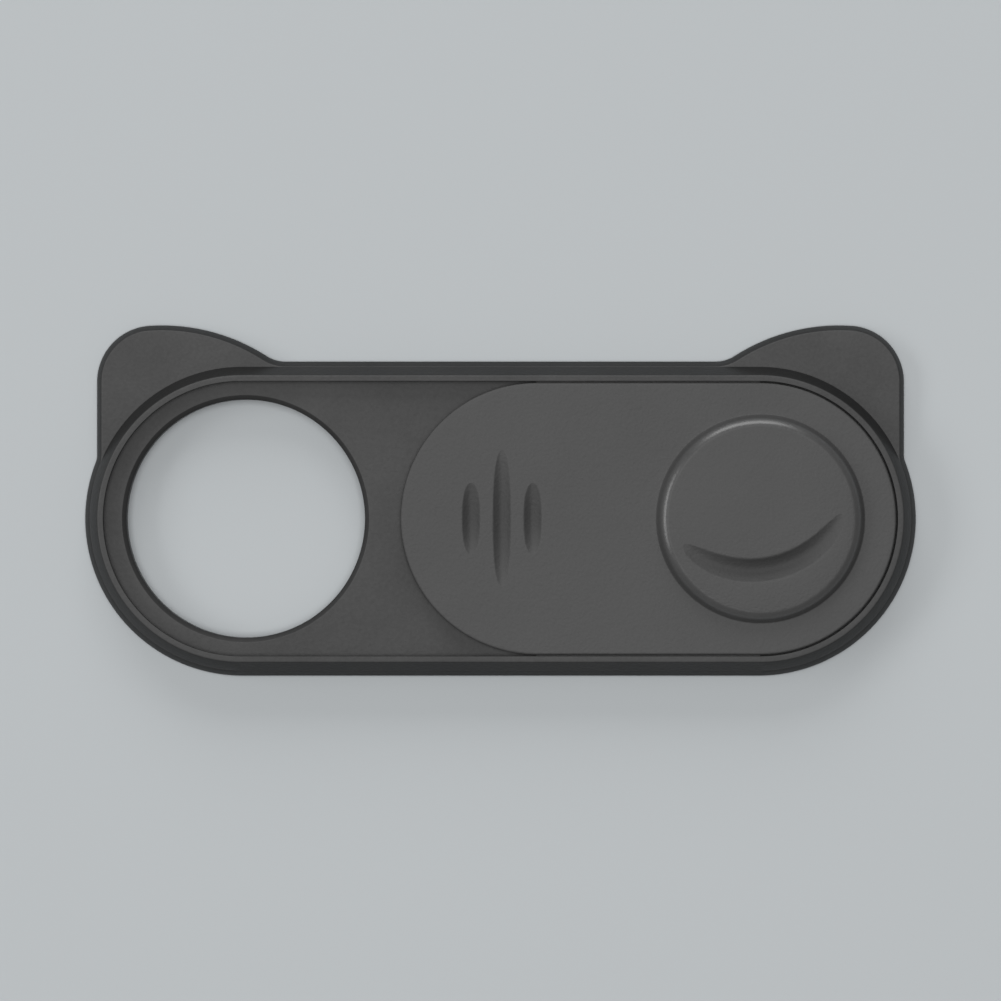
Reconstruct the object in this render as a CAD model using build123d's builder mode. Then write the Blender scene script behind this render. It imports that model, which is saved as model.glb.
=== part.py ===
from build123d import *

import os
from math import asin, atan, cos, degrees, sin, sqrt

# Webcam cover slider: a thin pill with two animal ears, a round camera window at one end and a
# shutter that slides over it. It lies on its adhesive back with the ears towards +Y, the shutter
# runs along X, and the origin is the middle of the pill on the adhesive face. Millimetres.

# Pill and ears, seen from the front
body_length = 28.0
body_width = 10.6
ear_side_inset = 0.4  # outer side of the ear, in from the end of the pill
ear_crown_inset = 2.2  # highest point of the ear, in from its outer side
ear_crown_rise = 1.22  # crown above the straight edge
ear_root_lead = 1.1  # straight edge taken up by the ear, from the centre of the round end
ear_tip_radius = 1.9
ear_root_blend = 1.2
ear_foot_blend = 0.6

# Back plate, with its raised floor, and the tape under it
plate_thickness = 0.4
plate_edge_radius = 0.05
floor_rise = 0.3  # floor of the track, above the ears
floor_clearance = 0.03  # between the floor and the frame round it
window_ring = 1.3  # plate left above and below the camera window
window_shift = 0.15  # window centre, in from the centre of the round end
window_bevel = 0.15
pad_thickness = 0.12
pad_inset = 0.2  # tape edge, in from the plate's edges

# Rail frame on the plate
wall_lean = 0.5  # outer wall, in from the foot of the plate to the rim
rim_flat = 0.2  # top of the rim, inside the leaning wall
rim_edge_radius = 0.08
lip_thickness = 0.17
lip_overhang = 0.15  # lip beyond the channel wall
lip_edge_bevel = 0.03

# Shutter
tongue_thickness = 0.13
side_clearance = 0.05
slide_clearance = 0.03  # above and below the tongues
open_margin = 1.2  # bare floor between the window and the open shutter
shutter_edge_radius = 0.08
disc_margin = 1.05  # shutter left round the raised disc
disc_height = 0.42
disc_draft = 30.0  # degrees, lean of the disc's wall
disc_edge_radius = 0.5

# Grip grooves and the crescent, cut with round-nosed tools
grip_width = 0.6
grip_depth = 0.2
grip_setback = 3.4  # middle groove, in from the shutter's window end
grip_pitch = 1.03
grip_length_middle = 4.6
grip_length_side = 2.4
smile_width = 0.8
smile_depth = 0.3
smile_radius = 3.4
smile_reach = 2.7  # half the distance between the crescent's tips
smile_drop = 1.7  # middle of the crescent below the middle of the disc
smile_lean = 11.0  # degrees, lifts the outer tip

# Levels, from the adhesive face up
plate_top = pad_thickness + plate_thickness
floor_top = plate_top + floor_rise
lip_base = floor_top + tongue_thickness + 2 * slide_clearance
rim_top = lip_base + lip_thickness
shutter_base = floor_top + slide_clearance
shutter_thickness = rim_top - shutter_base
disc_top = rim_top + disc_height

# Plan sizes that follow from the pill
end_radius = body_width / 2
end_centre = body_length / 2 - end_radius
window_radius = end_radius - window_ring
window_x = window_shift - end_centre
wall_slope = wall_lean / (rim_top - pad_thickness)
wall_draft = degrees(atan(wall_slope))
frame_radius = end_radius - wall_slope * plate_thickness
opening_radius = end_radius - wall_lean - rim_flat
channel_radius = opening_radius + lip_overhang
floor_radius = channel_radius - floor_clearance
shutter_radius = opening_radius - side_clearance
tongue_reach = channel_radius - side_clearance
disc_radius = shutter_radius - disc_margin

# Shutter at rest: open, with its round end in the end of the frame that is away from the window
shutter_window_end = window_x + window_radius + open_margin
shutter_start = shutter_window_end + shutter_radius
shutter_straight = end_centre - shutter_start
shutter_middle = shutter_start + shutter_straight / 2
grip_x = shutter_window_end + grip_setback

# Ear: an arc from the root over the crown, a rounded tip and an upright outer side
ear_outer_x = body_length / 2 - ear_side_inset
ear_crown_x = ear_outer_x - ear_crown_inset
ear_root_x = end_centre - ear_root_lead
ear_crown_y = end_radius + ear_crown_rise
ear_arc_radius = ((ear_crown_x - ear_root_x) ** 2 + ear_crown_rise**2) / (2 * ear_crown_rise)
ear_outer_y = ear_crown_y - ear_arc_radius + sqrt(ear_arc_radius**2 - ear_crown_inset**2)
ear_foot_y = sqrt(end_radius**2 - (ear_outer_x - end_centre) ** 2)
ear_root = (ear_root_x, end_radius)
ear_crown = (ear_crown_x, ear_crown_y)
ear_tip = (ear_outer_x, ear_outer_y)
ear_foot = (ear_outer_x, ear_foot_y)

# Round noses that cut as wide and deep as the grooves
grip_nose = (grip_width**2 / 4 + grip_depth**2) / (2 * grip_depth)
smile_nose = (smile_width**2 / 4 + smile_depth**2) / (2 * smile_depth)

# Outline shared by the plate and the tape: the ears grow out of the pill with soft blends
with BuildSketch() as outline:
    with BuildLine():
        Polyline(ear_root, (ear_root_x, ear_foot_y), ear_foot, ear_tip)
        ThreePointArc(ear_tip, ear_crown, ear_root)
    make_face()
    fillet(outline.vertices().sort_by_distance(ear_tip)[0], ear_tip_radius)
    SlotCenterToCenter(2 * end_centre, 2 * end_radius)
    fillet(outline.vertices().sort_by_distance(ear_root)[0], ear_root_blend)
    fillet(outline.vertices().sort_by_distance(ear_foot)[0], ear_foot_blend)
    mirror(about=Plane.YZ)

# Tape, clear of the window
with BuildPart() as adhesive_pad:
    with BuildSketch():
        add(outline.sketch)
        offset(amount=-pad_inset)
        with Locations((window_x, 0)):
            Circle(window_radius + pad_inset, mode=Mode.SUBTRACT)
    extrude(amount=pad_thickness)

# Plate with the ears, the raised floor of the track and the window through both
with BuildPart() as back_plate:
    with BuildSketch(Plane.XY.offset(pad_thickness)):
        add(outline.sketch)
    extrude(amount=plate_thickness, taper=wall_draft)
    fillet(back_plate.faces().sort_by(Axis.Z)[-1].edges(), plate_edge_radius)
    with BuildSketch(Plane.XY.offset(plate_top)):
        SlotCenterToCenter(2 * end_centre, 2 * floor_radius)
    extrude(amount=floor_rise)
    with Locations((window_x, 0, floor_top)):
        Hole(window_radius)
    floor_edges = back_plate.faces().sort_by(Axis.Z)[-1].inner_wires()[0].edges()
    chamfer(floor_edges, window_bevel)

# Frame: leaning wall that carries on from the plate's edge, channel round the floor and lip above it
with BuildPart() as rail_frame:
    with BuildSketch(Plane.XY.offset(plate_top)):
        SlotCenterToCenter(2 * end_centre, 2 * frame_radius)
    extrude(amount=rim_top - plate_top, taper=wall_draft)
    fillet(rail_frame.faces().sort_by(Axis.Z)[-1].edges(), rim_edge_radius)
    with BuildSketch(Plane.XY.offset(plate_top)):
        SlotCenterToCenter(2 * end_centre, 2 * channel_radius)
    extrude(amount=lip_base - plate_top, mode=Mode.SUBTRACT)
    with BuildSketch(Plane.XY.offset(lip_base)):
        SlotCenterToCenter(2 * end_centre, 2 * opening_radius)
    extrude(amount=lip_thickness, mode=Mode.SUBTRACT)
    chamfer(rail_frame.faces().sort_by(Axis.Z)[-1].inner_wires()[0].edges(), lip_edge_bevel)

with BuildPart() as slider:
    # Shutter plate
    with BuildSketch(Plane.XY.offset(shutter_base)):
        with Locations((shutter_middle, 0)):
            SlotCenterToCenter(shutter_straight, 2 * shutter_radius)
    extrude(amount=shutter_thickness)
    fillet(slider.faces().sort_by(Axis.Z)[-1].edges(), shutter_edge_radius)

    # Tongues along the straight sides, which run under the lip
    with BuildSketch(Plane.XY.offset(shutter_base)):
        with Locations((shutter_middle, 0)):
            Rectangle(shutter_straight, 2 * tongue_reach)
    extrude(amount=tongue_thickness)

    # Raised disc
    with BuildSketch(Plane.XY.offset(rim_top)):
        with Locations((end_centre, 0)):
            Circle(disc_radius)
    extrude(amount=disc_height, taper=disc_draft)
    fillet(slider.faces().sort_by(Axis.Z)[-1].edges(), disc_edge_radius)

    # Grip grooves: a wheel with a round rim dips into the shutter, so each groove tapers at its ends
    grips = ((-grip_pitch, grip_length_side), (0, grip_length_middle), (grip_pitch, grip_length_side))
    for grip_offset, length in grips:
        wheel_radius = (length**2 / 4 + grip_depth**2) / (2 * grip_depth)
        with Locations((grip_x + grip_offset, 0, rim_top - grip_depth + wheel_radius)):
            Torus(wheel_radius - grip_nose, grip_nose, rotation=(0, 90, 0), mode=Mode.SUBTRACT)

    # Crescent: a ring tipped towards its lowest point, so the cut fades out at both tips
    smile_half_arc = asin(smile_reach / smile_radius)
    smile_tip_angle = asin(smile_depth / (smile_radius * (1 - cos(smile_half_arc))))
    ring_y = smile_radius * cos(smile_tip_angle) - smile_drop
    ring_z = smile_radius * sin(smile_tip_angle) + smile_nose - smile_depth
    disc_place = Location((end_centre, 0, disc_top), (0, 0, smile_lean))
    with Locations(disc_place * Location((0, ring_y, ring_z), (degrees(smile_tip_angle), 0, 0))):
        Torus(smile_radius, smile_nose, mode=Mode.SUBTRACT)

os.makedirs("parts", exist_ok=True)
pieces = {
    "adhesive_pad": adhesive_pad,
    "back_plate": back_plate,
    "rail_frame": rail_frame,
    "slider": slider,
}
for name, piece in pieces.items():
    piece.part.label = name
    export_step(piece.part, f"parts/{name}.step")
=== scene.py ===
from math import asin, cos, pi, radians, sin, sqrt, tan

import bmesh
import bpy
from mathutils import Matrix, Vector


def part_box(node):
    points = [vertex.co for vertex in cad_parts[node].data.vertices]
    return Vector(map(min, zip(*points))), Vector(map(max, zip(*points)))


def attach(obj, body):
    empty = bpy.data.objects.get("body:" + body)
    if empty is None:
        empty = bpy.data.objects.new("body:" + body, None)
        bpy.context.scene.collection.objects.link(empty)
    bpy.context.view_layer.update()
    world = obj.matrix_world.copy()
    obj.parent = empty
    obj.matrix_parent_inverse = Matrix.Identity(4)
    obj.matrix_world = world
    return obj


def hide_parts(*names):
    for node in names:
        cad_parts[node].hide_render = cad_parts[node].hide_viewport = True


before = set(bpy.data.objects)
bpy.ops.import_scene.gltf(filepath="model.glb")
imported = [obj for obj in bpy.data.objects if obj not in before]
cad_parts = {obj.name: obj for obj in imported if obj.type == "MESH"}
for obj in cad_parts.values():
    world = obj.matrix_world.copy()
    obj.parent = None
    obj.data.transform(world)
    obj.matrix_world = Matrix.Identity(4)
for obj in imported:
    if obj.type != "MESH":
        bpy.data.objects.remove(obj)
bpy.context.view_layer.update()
print("frame loaded:", ", ".join(sorted(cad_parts)))

mm = 0.001  # pieces are shaped in millimetres and scaled to metres when they are finished
weldGap = 0.0005  # doubles closer than this are merged
arcStep = radians(2.5)  # turn of one facet on a round edge
roundSteps = 6  # facets across a rounded edge of a section
flatMargin = 0.2  # strip of flat that is swept along with a rounded edge
creaseAngle = radians(50)  # edges sharper than this stay crisp


def boxInMm(node):
    low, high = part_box(node)
    return low / mm, high / mm


tapeLow, tapeHigh = boxInMm("adhesive_pad")
plateLow, plateHigh = boxInMm("back_plate")
railLow, railHigh = boxInMm("rail_frame")
shutterLow, shutterHigh = boxInMm("slider")

endRadius = -plateLow.y
endX = plateHigh.x - endRadius  # centre of the round end
earLevel = railLow.z  # top of the plate outside the rail frame
floorLevel = plateHigh.z  # floor of the track
rimLevel = railHigh.z  # top of the rail frame, flush with the shutter
zAxis = (0, 0, 1)


# Mesh helpers

def runTo(bm, vert, target, centre=None):  # straight edge, or an arc where a centre is given
    target = Vector(target)
    here = vert.co.xy
    if centre is None:
        step = (*(target - here), 0)
        spun = bmesh.ops.spin(bm, geom=[vert], axis=zAxis, dvec=step, angle=0, steps=1)
    else:
        turn = (target - centre).angle_signed(here - centre)
        steps = max(3, round(abs(turn) / arcStep))
        pivot = (*centre, vert.co.z)
        spun = bmesh.ops.spin(bm, geom=[vert], axis=zAxis, cent=pivot, angle=turn, steps=steps)
    return spun["geom_last"][0]


def drawSection(bm, corners, closed=False):  # corners are (radius, level, rounding), drawn on the -Y side
    verts = [bm.verts.new((0, -radius, level)) for radius, level, _ in corners]
    pairs = list(zip(verts, verts[1:]))
    if closed:
        pairs.append((verts[-1], verts[0]))
    for pair in pairs:
        bm.edges.new(pair)
    for vert, (_, _, rounding) in zip(verts, corners):
        if rounding:
            before, after = (e.other_vert(vert).co - vert.co for e in vert.link_edges)
            runOut = rounding * tan((pi - before.angle(after)) / 2)  # from the corner to where its arc ends
            bmesh.ops.bevel(
                bm, geom=[vert], offset=runOut, offset_type="ABSOLUTE", segments=roundSteps,
                profile=0.5, affect="VERTICES", material=-1)
    return [e for e in bm.edges if not e.link_faces]


def spinSection(bm, section, centreX):  # full turn round an upright axis
    verts = list({v for e in section for v in e.verts})
    bmesh.ops.translate(bm, vec=(centreX, 0, 0), verts=verts)
    bmesh.ops.spin(
        bm, geom=verts + section, cent=(centreX, 0, 0), axis=zAxis,
        angle=2 * pi, steps=round(2 * pi / arcStep), use_merge=True)


def sweepPill(bm, section, leftX, rightX):  # two straight runs and two round ends
    verts = list({v for e in section for v in e.verts})
    bmesh.ops.translate(bm, vec=(leftX, 0, 0), verts=verts)
    geom = verts + section
    run = rightX - leftX
    for centreX, step in ((rightX, run), (leftX, -run)):
        spun = bmesh.ops.spin(bm, geom=geom, axis=zAxis, dvec=(step, 0, 0), angle=0, steps=1)
        spun = bmesh.ops.spin(
            bm, geom=spun["geom_last"], cent=(centreX, 0, 0), axis=zAxis,
            angle=pi, steps=round(pi / arcStep))
        geom = spun["geom_last"]
    bmesh.ops.remove_doubles(bm, verts=bm.verts, dist=weldGap)


def openEdges(bm, level):
    return [e for e in bm.edges if len(e.link_faces) == 1
            and all(abs(v.co.z - level) < weldGap for v in e.verts)]


def fillFlat(bm, level):  # closes what lies open at one level, round any holes in it
    bmesh.ops.triangle_fill(bm, edges=openEdges(bm, level), use_beauty=True, normal=zAxis)


def finishPiece(name, bm, body, node, material):
    bmesh.ops.remove_doubles(bm, verts=bm.verts, dist=weldGap)
    bmesh.ops.recalc_face_normals(bm, faces=bm.faces)
    loose = sum(not e.is_manifold for e in bm.edges)
    bmesh.ops.scale(bm, vec=(mm, mm, mm), verts=bm.verts)
    mesh = bpy.data.meshes.new(name)
    bm.to_mesh(mesh)
    bm.free()
    mesh.shade_smooth()
    mesh.set_sharp_from_angle(angle=creaseAngle)
    mesh.materials.append(material)
    piece = bpy.data.objects.new(name, mesh)
    bpy.context.scene.collection.objects.link(piece)
    evenFlats = piece.modifiers.new("evenFlats", "WEIGHTED_NORMAL")
    evenFlats.keep_sharp = True
    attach(piece, body)
    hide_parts(node)
    print(f"{name}: {len(mesh.polygons)} faces, {loose} open edges")
    return piece


# Finishes

def addNode(tree, kind, **values):
    made = tree.nodes.new(kind)
    for key, value in values.items():
        if key in made.inputs:
            made.inputs[key].default_value = value
        else:
            setattr(made, key, value)
    return made


grainMix = {
    "coarseSpread": 3, "coarseShare": 0.6,  # size and height of the coarse pits, against the fine ones
    "fineTone": 0.45,  # share of the fine pits in the colour's tone
    "noiseRoughness": 0.5,
}


def makeGrainGroup():  # spark-eroded mould texture: pits of two sizes and faint cloudy patches
    group = bpy.data.node_groups.new("mouldGrain", "ShaderNodeTree")
    for name, kind in (("Vector", "Vector"), ("Pit Size", "Float"), ("Patch Size", "Float")):
        group.interface.new_socket(name=name, in_out="INPUT", socket_type="NodeSocket" + kind)
    for name in ("Height", "Tone"):
        group.interface.new_socket(name=name, in_out="OUTPUT", socket_type="NodeSocketFloat")
    link = group.links.new
    source = addNode(group, "NodeGroupInput")
    result = addNode(group, "NodeGroupOutput")
    noises = {}
    for name, sizeName, spread, detail in (
            ("fine", "Pit Size", 1, 2), ("coarse", "Pit Size", grainMix["coarseSpread"], 1),
            ("patch", "Patch Size", 1, 2)):
        scale = addNode(group, "ShaderNodeMath", operation="DIVIDE")
        scale.inputs[0].default_value = 1 / spread
        link(source.outputs[sizeName], scale.inputs[1])
        noises[name] = addNode(
            group, "ShaderNodeTexNoise", Detail=detail, Roughness=grainMix["noiseRoughness"])
        link(source.outputs["Vector"], noises[name].inputs["Vector"])
        link(scale.outputs[0], noises[name].inputs["Scale"])
    both = addNode(group, "ShaderNodeMath", operation="MULTIPLY_ADD")
    both.inputs[1].default_value = grainMix["coarseShare"]
    link(noises["coarse"].outputs["Fac"], both.inputs[0])
    link(noises["fine"].outputs["Fac"], both.inputs[2])
    height = addNode(group, "ShaderNodeMath", operation="SUBTRACT")
    height.inputs[1].default_value = (1 + grainMix["coarseShare"]) / 2  # level on average
    link(both.outputs[0], height.inputs[0])
    tone = addNode(group, "ShaderNodeMix", data_type="FLOAT", Factor=grainMix["fineTone"])
    link(noises["patch"].outputs["Fac"], tone.inputs["A"])
    link(noises["fine"].outputs["Fac"], tone.inputs["B"])
    link(height.outputs[0], result.inputs["Height"])
    link(tone.outputs["Result"], result.inputs["Tone"])
    return group


def makeSlopeGroup():  # mask of what leans away from level, such as rounded edges and walls
    group = bpy.data.node_groups.new("slopeMask", "ShaderNodeTree")
    group.interface.new_socket(name="Normal", in_out="INPUT", socket_type="NodeSocketVector")
    for name in ("Least Slope", "Full Slope"):
        group.interface.new_socket(name=name, in_out="INPUT", socket_type="NodeSocketFloat")
    group.interface.new_socket(name="Mask", in_out="OUTPUT", socket_type="NodeSocketFloat")
    link = group.links.new
    source = addNode(group, "NodeGroupInput")
    result = addNode(group, "NodeGroupOutput")
    split = addNode(group, "ShaderNodeSeparateXYZ")
    upright = addNode(group, "ShaderNodeMath", operation="ABSOLUTE")
    angle = addNode(group, "ShaderNodeMath", operation="ARCCOSINE")
    mask = addNode(group, "ShaderNodeMapRange", interpolation_type="SMOOTHSTEP")
    link(source.outputs["Normal"], split.inputs[0])
    link(split.outputs["Z"], upright.inputs[0])
    link(upright.outputs[0], angle.inputs[0])
    link(angle.outputs[0], mask.inputs["Value"])
    link(source.outputs["Least Slope"], mask.inputs["From Min"])
    link(source.outputs["Full Slope"], mask.inputs["From Max"])
    link(mask.outputs["Result"], result.inputs["Mask"])
    return group


grainGroup = makeGrainGroup()
slopeGroup = makeSlopeGroup()


def makeFinish(name, look):
    material = bpy.data.materials.new(name)
    material.use_nodes = True
    tree = material.node_tree
    link = tree.links.new
    shader = tree.nodes["Principled BSDF"]
    shader.inputs["Specular IOR Level"].default_value = look["gloss"]
    place = addNode(tree, "ShaderNodeTexCoord")
    grain = addNode(tree, "ShaderNodeGroup", node_tree=grainGroup)
    grain.inputs["Pit Size"].default_value = look["pitSize"] * mm
    grain.inputs["Patch Size"].default_value = look["patchSize"] * mm
    link(place.outputs["Object"], grain.inputs["Vector"])

    # Masks of walls, which get painted shade, and of worn edges
    masks = {}
    for kind in ("wall", "edge"):
        slope = addNode(tree, "ShaderNodeGroup", node_tree=slopeGroup)
        for socket, angle in zip(("Least Slope", "Full Slope"), look[kind + "Slopes"]):
            slope.inputs[socket].default_value = radians(angle)
        link(place.outputs["Normal"], slope.inputs["Normal"])
        masks[kind] = slope.outputs["Mask"]
    if "recessShadeTone" in look:  # painted shade: the deeper part of a groove is painted as dark as a wall
        recess = addNode(tree, "ShaderNodeAttribute", attribute_name="recess")
        both = addNode(tree, "ShaderNodeMath", operation="MULTIPLY_ADD", use_clamp=True)
        both.inputs[1].default_value = look["recessShadeTone"]
        link(recess.outputs["Fac"], both.inputs[0])
        link(masks["wall"], both.inputs[2])
        masks["wall"] = both.outputs[0]
    if "edgePolish" in look:  # only what fingers touch is worn
        touch = addNode(tree, "ShaderNodeAttribute", attribute_name="touch")
        worn = addNode(tree, "ShaderNodeMath", operation="MULTIPLY")
        link(touch.outputs["Fac"], worn.inputs[0])
        link(masks["edge"], worn.inputs[1])
        masks["edge"] = worn.outputs[0]

    # Colour: patchy, with painted shade darkening the walls and grooves
    dark, light = (
        (*(part * tone for part in look["colour"]), 1)
        for tone in (1 - look["contrast"], 1 + look["contrast"]))
    colour = addNode(tree, "ShaderNodeMix", data_type="RGBA")
    colour.inputs["A"].default_value = dark
    colour.inputs["B"].default_value = light
    link(grain.outputs["Tone"], colour.inputs["Factor"])
    # painted shade: the wall tone multiplies the colour down on walls and in grooves
    wallShadeColour = addNode(tree, "ShaderNodeMix", data_type="RGBA", blend_type="MULTIPLY")
    wallShadeColour.inputs["B"].default_value = (*[look["wallShadeTone"]] * 3, 1)
    link(masks["wall"], wallShadeColour.inputs["Factor"])
    link(colour.outputs["Result"], wallShadeColour.inputs["A"])
    link(wallShadeColour.outputs["Result"], shader.inputs["Base Color"])

    # Gloss: edges are worn smoother than the flats
    rough = addNode(tree, "ShaderNodeMapRange")
    rough.inputs["To Min"].default_value, rough.inputs["To Max"].default_value = look["roughness"]
    link(grain.outputs["Tone"], rough.inputs["Value"])
    edgeRough = addNode(tree, "ShaderNodeMix", data_type="FLOAT")
    edgeRough.inputs["B"].default_value = look["edgeRoughness"]
    link(masks["edge"], edgeRough.inputs["Factor"])
    link(rough.outputs["Result"], edgeRough.inputs["A"])
    link(edgeRough.outputs["Result"], shader.inputs["Roughness"])
    if "edgePolish" in look:
        shader.inputs["Coat Roughness"].default_value = look["edgeRoughness"]
        polish = addNode(tree, "ShaderNodeMath", operation="MULTIPLY")
        polish.inputs[1].default_value = look["edgePolish"]
        link(masks["edge"], polish.inputs[0])
        link(polish.outputs[0], shader.inputs["Coat Weight"])

    # Pits, shallower on worn edges
    edgePits = addNode(tree, "ShaderNodeMapRange")
    edgePits.inputs["To Min"].default_value = 1
    edgePits.inputs["To Max"].default_value = look["edgePits"]
    link(masks["edge"], edgePits.inputs["Value"])
    pits = addNode(tree, "ShaderNodeMath", operation="MULTIPLY")
    link(grain.outputs["Height"], pits.inputs[0])
    link(edgePits.outputs["Result"], pits.inputs[1])
    bump = addNode(tree, "ShaderNodeBump", Strength=1, Distance=look["pitDepth"] * mm)
    link(pits.outputs[0], bump.inputs["Height"])
    link(bump.outputs["Normal"], shader.inputs["Normal"])
    return material


# the wall tone and the recess tone of a finish are painted shade in its colour
finishes = {  # sizes in millimetres, slopes in degrees
    "shell": {
        "colour": (0.07, 0.07, 0.07), "contrast": 0.34, "roughness": (0.6, 0.76), "gloss": 0.13,
        "pitSize": 0.11, "patchSize": 2.4, "pitDepth": 0.018,
        "wallSlopes": (25, 55), "wallShadeTone": 0.3,
        "edgeSlopes": (6, 20), "edgeRoughness": 0.4, "edgePits": 0.4,
    },
    "shutter": {
        "colour": (0.058, 0.058, 0.058), "contrast": 0.3, "roughness": (0.6, 0.74), "gloss": 0.5,
        "pitSize": 0.1, "patchSize": 3.1, "pitDepth": 0.016,
        "wallSlopes": (40, 80), "wallShadeTone": 0.45,
        "edgeSlopes": (6, 30), "edgeRoughness": 0.3, "edgePits": 0.15, "edgePolish": 0.5,
        "recessShadeTone": 0.6,
    },
    "tape": {
        "colour": (0.035, 0.035, 0.036), "contrast": 0.3, "roughness": (0.75, 0.9), "gloss": 0.3,
        "pitSize": 0.05, "patchSize": 0.6, "pitDepth": 0.012,
        "wallSlopes": (30, 70), "wallShadeTone": 0.8,
        "edgeSlopes": (30, 70), "edgeRoughness": 0.8, "edgePits": 1,
    },
}
shellFinish, shutterFinish, tapeFinish = (
    makeFinish(name + "Finish", look) for name, look in finishes.items())
print("finishes made:", ", ".join(finishes))


# Outline of the pill with its two ears, shared by the plate and the tape

ear = {
    "sideInset": 0.4,  # outer side, in from the end of the pill
    "crownInset": 2.2,  # highest point, in from the outer side
    "rootLead": 1.1,  # start of the ear on the straight edge, from the centre of the round end
    "tipRadius": 1.9,
    "rootBlend": 1.2,
    "footBlend": 0.6,
}
outlineSteps = 4  # facets across a rounded edge of the outline


def drawOutline(bm, inset, level):
    others = set(bm.verts)
    sideX = plateHigh.x - ear["sideInset"]
    crownX = sideX - ear["crownInset"]
    rise = plateHigh.y - endRadius
    earRadius = ((crownX - endX + ear["rootLead"]) ** 2 + rise**2) / (2 * rise)
    endCentre = Vector((endX, 0))
    earCentre = Vector((crownX, plateHigh.y - earRadius))

    # Circles that blend the ear's outer foot, tip and root into their neighbours
    footReach = endRadius + ear["footBlend"]
    footX = sideX + ear["footBlend"]
    footCentre = Vector((footX, sqrt(footReach**2 - (footX - endX) ** 2)))
    tipReach = earRadius - ear["tipRadius"]
    tipX = sideX - ear["tipRadius"]
    tipCentre = Vector((tipX, earCentre.y + sqrt(tipReach**2 - (tipX - crownX) ** 2)))
    rootReach = earRadius + ear["rootBlend"]
    rootY = endRadius + ear["rootBlend"]
    rootCentre = Vector((crownX - sqrt(rootReach**2 - (rootY - earCentre.y) ** 2), rootY))

    vert = bm.verts.new((0, inset - endRadius, level))
    vert = runTo(bm, vert, (endX, inset - endRadius))
    vert = runTo(bm, vert, endCentre.lerp(footCentre, (endRadius - inset) / footReach), endCentre)
    vert = runTo(bm, vert, (sideX - inset, footCentre.y), footCentre)
    vert = runTo(bm, vert, (sideX - inset, tipCentre.y))
    vert = runTo(bm, vert, earCentre + (tipCentre - earCentre) * (earRadius - inset) / tipReach, tipCentre)
    vert = runTo(bm, vert, earCentre.lerp(rootCentre, (earRadius - inset) / rootReach), earCentre)
    vert = runTo(bm, vert, (rootCentre.x, endRadius - inset), rootCentre)
    runTo(bm, vert, (0, endRadius - inset))
    half = [v for v in bm.verts if v not in others]
    bmesh.ops.mirror(
        bm, geom=half + list({e for v in half for e in v.link_edges}), axis="X", merge_dist=weldGap)
    return list({e for v in bm.verts if v not in others for e in v.link_edges})


def raiseOutline(bm, low, high, edge):  # wall with round edges between two places, each (inset, level)
    loops = [drawOutline(bm, *place) for place in (low, high)]
    bmesh.ops.bridge_loops(bm, edges=loops[0] + loops[1])
    for loop in loops:
        bmesh.ops.contextual_create(bm, geom=loop)
    bmesh.ops.recalc_face_normals(bm, faces=bm.faces)
    bmesh.ops.bevel(
        bm, geom=loops[0] + loops[1], offset=edge, offset_type="OFFSET", segments=outlineSteps,
        profile=0.5, affect="EDGES", material=-1)
    caps = [f for f in bm.faces if len(f.verts) > 4]  # only needed for the bevel
    bmesh.ops.delete(bm, geom=caps, context="FACES_ONLY")


# Tape

window = {"radius": 4, "x": -8.55, "bevel": 0.15, "bevelEdge": 0.03}
tape = {"inset": endRadius + tapeLow.y, "edge": 0.02, "windowGap": 0.2}


def makeTape():
    bm = bmesh.new()
    raiseOutline(bm, (tape["inset"], tapeLow.z), (tape["inset"], tapeHigh.z), tape["edge"])
    radius = window["radius"] + tape["windowGap"]
    spinSection(bm, drawSection(bm, ((radius, tapeLow.z, 0), (radius, tapeHigh.z, 0))), window["x"])
    fillFlat(bm, tapeLow.z)
    fillFlat(bm, tapeHigh.z)
    return finishPiece("tapePad", bm, "base", "adhesive_pad", tapeFinish)


# Back plate: ears, raised floor of the track, window through both

plate = {"edge": 0.04, "lean": endRadius - railHigh.y, "floorRadius": 4.72, "floorEdge": 0.04}


def makePlate():
    bm = bmesh.new()
    raiseOutline(bm, (0, plateLow.z), (plate["lean"], earLevel), plate["edge"])
    floorRadius = plate["floorRadius"]
    wall = drawSection(bm, (
        (floorRadius, earLevel, 0), (floorRadius, floorLevel, plate["floorEdge"]),
        (floorRadius - flatMargin, floorLevel, 0)))
    sweepPill(bm, wall, -endX, endX)
    radius = window["radius"]
    rim = drawSection(bm, (
        (radius, plateLow.z, 0), (radius, floorLevel - window["bevel"], window["bevelEdge"]),
        (radius + window["bevel"], floorLevel, window["bevelEdge"]), (radius + flatMargin, floorLevel, 0)))
    spinSection(bm, rim, window["x"])
    for level in (plateLow.z, earLevel, floorLevel):
        fillFlat(bm, level)
    return finishPiece("backPlate", bm, "base", "back_plate", shellFinish)


# Rail frame: leaning outer wall, channel, lip over the shutter's tongues

rail = {
    "lean": 0.5, "flat": 0.2, "edge": 0.08, "foot": 0.02,
    "lipHeight": 0.17, "lipOver": 0.15, "lipEdge": 0.03,
}


def makeRail():
    bm = bmesh.new()
    outer = endRadius - rail["lean"]
    opening = outer - rail["flat"]
    channel = opening + rail["lipOver"]
    lipBase = rimLevel - rail["lipHeight"]
    section = drawSection(bm, (
        (railHigh.y, earLevel, rail["foot"]), (outer, rimLevel, rail["edge"]),
        (opening, rimLevel, rail["lipEdge"]), (opening, lipBase, 0),
        (channel, lipBase, 0), (channel, earLevel, 0)), closed=True)
    sweepPill(bm, section, -endX, endX)
    return finishPiece("railFrame", bm, "base", "rail_frame", shellFinish)


# Shutter: tongued plate, three grip grooves, raised disc with a crescent

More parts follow.
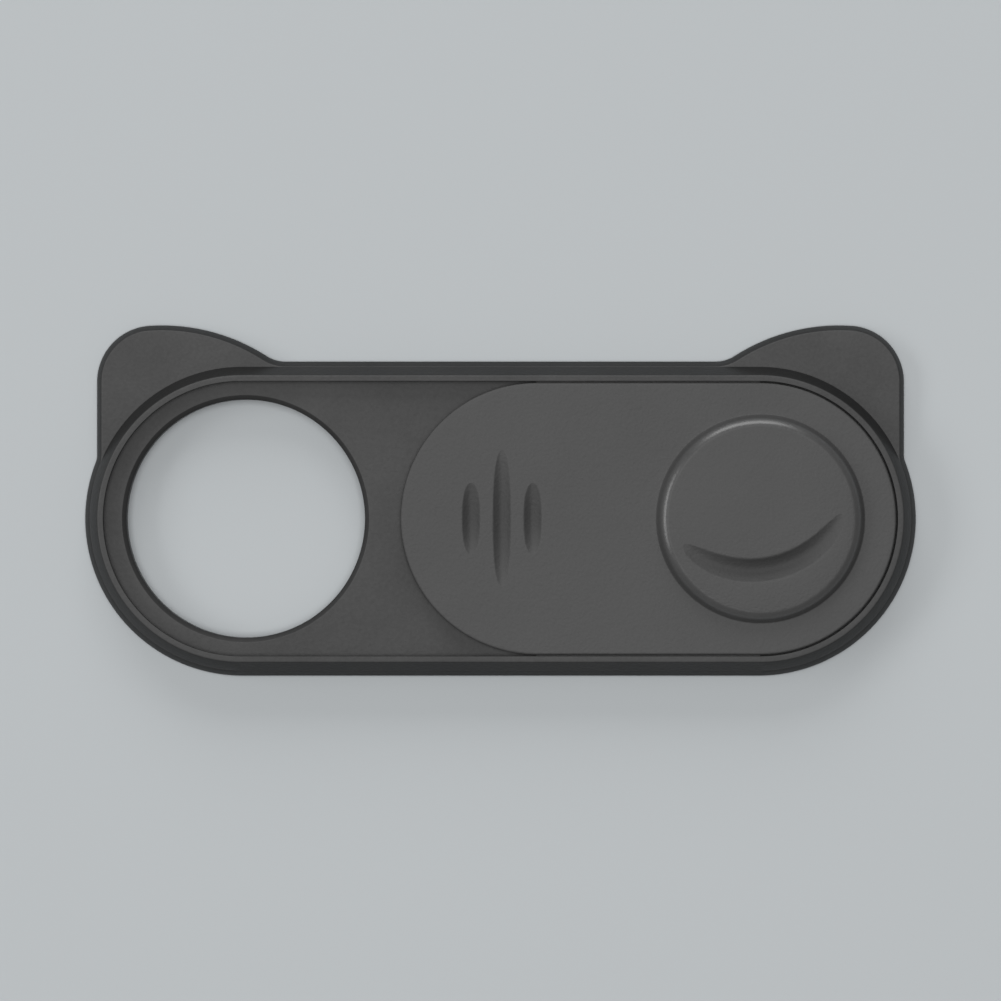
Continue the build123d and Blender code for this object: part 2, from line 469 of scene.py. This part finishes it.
shutter = {
    "edge": 0.08, "tongueHeight": 0.13,
    "discRadius": 3.5, "discDraft": 30, "discFoot": 0.05, "discEdge": 0.5,
    "gripSetback": 3.4, "gripPitch": 1.03, "gripLengths": (2.4, 4.6, 2.4),
    "gripWidth": 0.6, "gripDepth": 0.2,
    "smileRadius": 3.4, "smileReach": 2.7, "smileDrop": 1.7, "smileLean": 11,
    "smileWidth": 0.8, "smileDepth": 0.3,
}
groove = {
    "steepness": 2, "softness": 0.08, "alongSteps": 52, "acrossSteps": 32,
    "spread": 1.3, "runOut": 1.02, "tipWidth": 0.02,  # level margins beside the groove and past its tips
}


def troughShare(across):  # 1 in the middle of a groove, rounded over its edge to level
    inside = 1 - abs(across) ** groove["steepness"]
    return (inside + sqrt(inside**2 + groove["softness"] ** 2)) / 2


def pressGroove(bm, level, width, depth, place):  # grid pressed down by a round nose, out at both tips
    nose = (width**2 / 4 + depth**2) / (2 * depth)
    grid = bmesh.ops.create_grid(
        bm, x_segments=groove["alongSteps"], y_segments=groove["acrossSteps"], size=1)
    flat = troughShare(groove["spread"])
    for vert in grid["verts"]:
        along = sin(vert.co.x * pi / 2) * groove["runOut"]  # closer rows towards the tips
        across = vert.co.y * groove["spread"]
        deep = depth * max(0, 1 - along**2)
        half = max(groove["tipWidth"] / 2, sqrt(2 * nose * deep - deep**2))
        drop = deep * (troughShare(across) - flat) / (troughShare(0) - flat)
        vert.co = (*place(along, across * half), level - drop)
        vert[bm.verts.layers.float["recess"]] = drop / depth


def makeShutter():
    bm = bmesh.new()
    for name in ("recess", "touch"):  # 1 at the bottom of a groove and on the disc's edge, read by the finish
        bm.verts.layers.float.new(name)
    radius = shutterHigh.x - endX
    startX = shutterLow.x + radius
    low, discLevel = shutterLow.z, shutterHigh.z
    tongueTop = low + shutter["tongueHeight"]
    side = drawSection(bm, (
        (radius, low, 0), (radius, tongueTop, 0), (radius, rimLevel, shutter["edge"]),
        (radius - flatMargin, rimLevel, 0)))
    sweepPill(bm, side, startX, endX)

    # Tongues: the lowest band of both straight sides, drawn out under the lip
    bm.normal_update()
    for sign in (-1, 1):
        middles = {f: f.calc_center_median() for f in bm.faces}
        bands = [
            f for f, middle in middles.items() if middle.z < tongueTop
            and abs(middle.y - sign * radius) < weldGap and startX < middle.x < endX]
        grown = bmesh.ops.extrude_face_region(bm, geom=bands)["geom"]
        reach = (0, sign * (shutterHigh.y - radius), 0)
        bmesh.ops.translate(bm, vec=reach, verts=[g for g in grown if isinstance(g, bmesh.types.BMVert)])
        bmesh.ops.delete(bm, geom=bands, context="FACES_ONLY")

    # Raised disc
    foot = shutter["discRadius"]
    top = foot - (discLevel - rimLevel) * tan(radians(shutter["discDraft"]))
    disc = drawSection(bm, (
        (foot + flatMargin, rimLevel, 0), (foot, rimLevel, shutter["discFoot"]),
        (top, discLevel, shutter["discEdge"]), (top - flatMargin, discLevel, 0)))
    spinSection(bm, disc, endX)
    for vert in bm.verts:
        rise = (vert.co.z - rimLevel) / (discLevel - rimLevel)
        vert[bm.verts.layers.float["touch"]] = min(1, max(0, 2 * rise))

    # Grip grooves
    for offset, length in zip((-1, 0, 1), shutter["gripLengths"]):
        x = shutterLow.x + shutter["gripSetback"] + offset * shutter["gripPitch"]
        pressGroove(
            bm, rimLevel, shutter["gripWidth"], shutter["gripDepth"],
            lambda along, across: (x + across, along * length / 2))

    # Crescent
    halfArc = asin(shutter["smileReach"] / shutter["smileRadius"])
    lean = radians(shutter["smileLean"])

    def onSmile(along, across):
        reach = shutter["smileRadius"] + across
        across, down = reach * sin(along * halfArc), shutter["smileRadius"] - shutter["smileDrop"]
        down -= reach * cos(along * halfArc)
        return endX + across * cos(lean) - down * sin(lean), across * sin(lean) + down * cos(lean)

    pressGroove(bm, discLevel, shutter["smileWidth"], shutter["smileDepth"], onSmile)
    bmesh.ops.remove_doubles(bm, verts=bm.verts, dist=weldGap)
    for level in (low, rimLevel, discLevel):
        fillFlat(bm, level)
    return finishPiece("shutterPlate", bm, "shutter", "slider", shutterFinish)


makeTape()
makePlate()
makeRail()
makeShutter()


# Studio

studio = {
    "floor": {"colour": (0.495, 0.521, 0.535), "size": 3, "drop": 0.00002, "roughness": 0.9, "gloss": 0.1},
    "ambient": 0.2,
    "skyColour": (0.72, 0.74, 0.76),
    "lamps": {  # soft boxes, the back one low so that its shadow stays faint
        "overhead": {"place": (0, 0, 0.8), "width": 0.5, "height": 0.5, "power": 3.7},
        "back": {"place": (-0.055, 0.64, 0.26), "width": 0.6, "height": 0.3, "power": 2.2},
        "side": {"place": (-0.6, 0.055, 0.35), "width": 0.5, "height": 0.2, "power": 1.25},
    },
}
view = {"lens": 180, "width": 33.5, "clipStart": 0.005}  # width of the picture in millimetres


def makeFloor():
    look = studio["floor"]
    bm = bmesh.new()
    bmesh.ops.create_grid(bm, x_segments=1, y_segments=1, size=look["size"])
    bmesh.ops.translate(bm, vec=(0, 0, -look["drop"]), verts=bm.verts)
    mesh = bpy.data.meshes.new("floor")
    bm.to_mesh(mesh)
    bm.free()
    material = bpy.data.materials.new("floorFinish")
    material.use_nodes = True
    shader = material.node_tree.nodes["Principled BSDF"]
    shader.inputs["Base Color"].default_value = (*look["colour"], 1)
    shader.inputs["Roughness"].default_value = look["roughness"]
    shader.inputs["Specular IOR Level"].default_value = look["gloss"]
    mesh.materials.append(material)
    floor = bpy.data.objects.new("floor", mesh)
    bpy.context.scene.collection.objects.link(floor)


def makeLamps():
    for name, lamp in studio["lamps"].items():
        light = bpy.data.lights.new(name, "AREA")
        light.shape = "RECTANGLE"
        light.size, light.size_y = lamp["width"], lamp["height"]
        light.energy = lamp["power"]
        holder = bpy.data.objects.new(name, light)
        holder.location = lamp["place"]
        holder.rotation_euler = Vector(lamp["place"]).to_track_quat("Z", "Y").to_euler()
        bpy.context.scene.collection.objects.link(holder)


def makeWorld():
    world = bpy.data.worlds.new("studio")
    world.use_nodes = True
    tree = world.node_tree
    tree.nodes.clear()
    lit = addNode(tree, "ShaderNodeBackground", Color=(1, 1, 1, 1), Strength=studio["ambient"])
    seen = addNode(tree, "ShaderNodeBackground", Color=(*studio["skyColour"], 1), Strength=1)
    path = addNode(tree, "ShaderNodeLightPath")
    pick = addNode(tree, "ShaderNodeMixShader")
    out = addNode(tree, "ShaderNodeOutputWorld")
    tree.links.new(path.outputs["Is Camera Ray"], pick.inputs["Fac"])
    tree.links.new(lit.outputs[0], pick.inputs[1])
    tree.links.new(seen.outputs[0], pick.inputs[2])
    tree.links.new(pick.outputs[0], out.inputs["Surface"])
    bpy.context.scene.world = world


def makeCamera():  # straight down, the ears towards the top of the picture
    lens = bpy.data.cameras.new("camera")
    lens.lens = view["lens"]
    lens.clip_start = view["clipStart"]
    camera = bpy.data.objects.new("camera", lens)
    distance = view["width"] * lens.lens / lens.sensor_width
    camera.location = Vector((0, (plateLow.y + plateHigh.y) / 2, rimLevel + distance)) * mm
    bpy.context.scene.collection.objects.link(camera)
    bpy.context.scene.camera = camera


makeFloor()
makeLamps()
makeWorld()
makeCamera()
bpy.context.scene.view_settings.view_transform = "Standard"
print("studio set")
